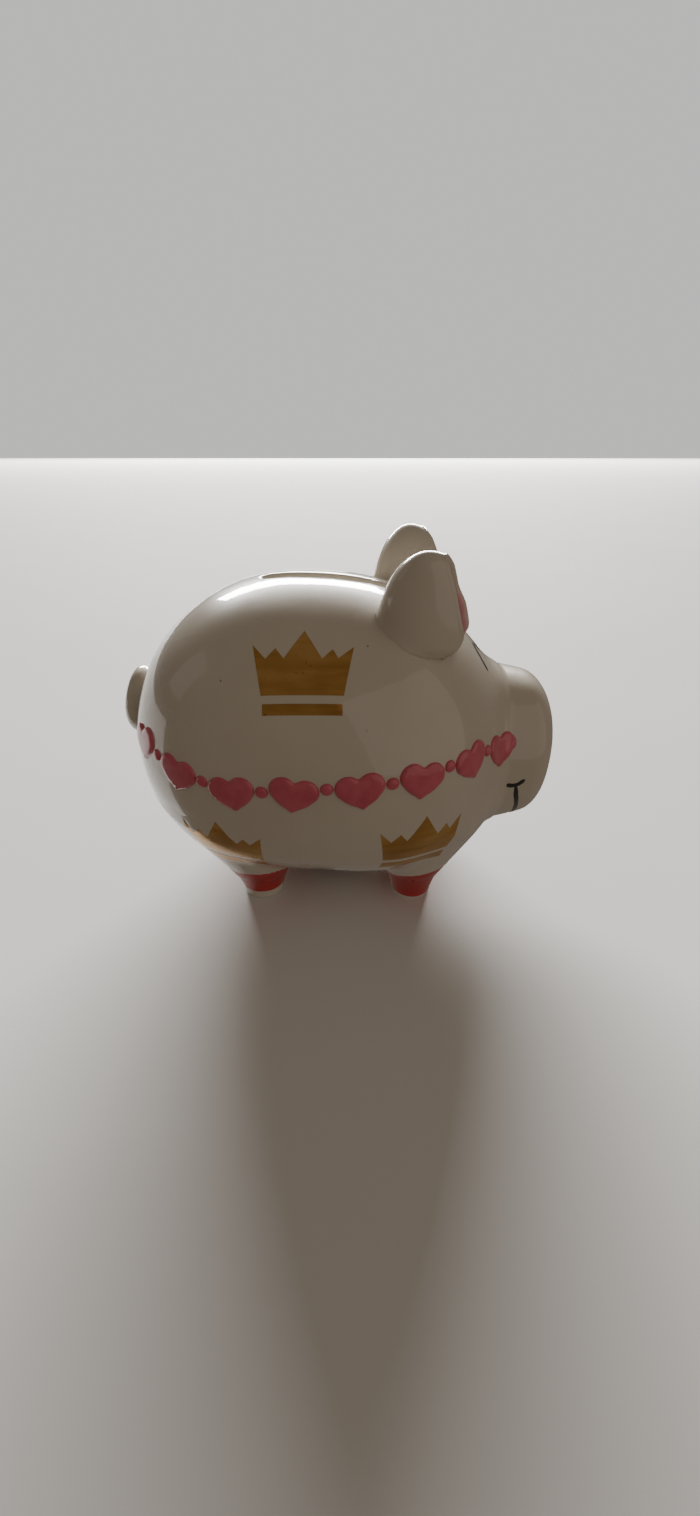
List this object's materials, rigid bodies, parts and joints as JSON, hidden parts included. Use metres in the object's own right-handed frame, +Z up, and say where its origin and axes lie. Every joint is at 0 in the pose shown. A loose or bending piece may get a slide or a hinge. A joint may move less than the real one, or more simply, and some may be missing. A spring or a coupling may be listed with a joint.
{
  "type": "piggy bank",
  "caption": "Hollow glazed ceramic pig coin bank on stub feet, with a coin slot along the back, cupped ears, a curled tail and a pull-out rubber stopper in the belly.",
  "frame": {"origin": "on the table plane under the middle of the pig's bounding box", "axes": "+X from the tail to the snout, +Y to the pig's left side, +Z up"},
  "size_m": [0.1313, 0.0938, 0.1046],
  "materials": {
    "white_glaze": "gloss",
    "red_glaze": "gloss",
    "stopper_rubber": "matte",
    "gold_lustre": "polished",
    "pink_paint": "gloss",
    "black_paint": "gloss"
  },
  "bodies": {
    "pig": {"body_shell": "white_glaze", "ear_left": "white_glaze", "ear_right": "white_glaze", "tail": "white_glaze", "foot_front_left": "red_glaze", "foot_front_right": "red_glaze", "foot_rear_left": "red_glaze", "foot_rear_right": "red_glaze"},
    "stopper": {"belly_stopper": "stopper_rubber"}
  },
  "joints": [
    {"name": "stopper_pull", "type": "slide", "parent": "pig", "child": "stopper", "axis": [0, 0, -1], "range_m": [0, 0.03]}
  ]
}
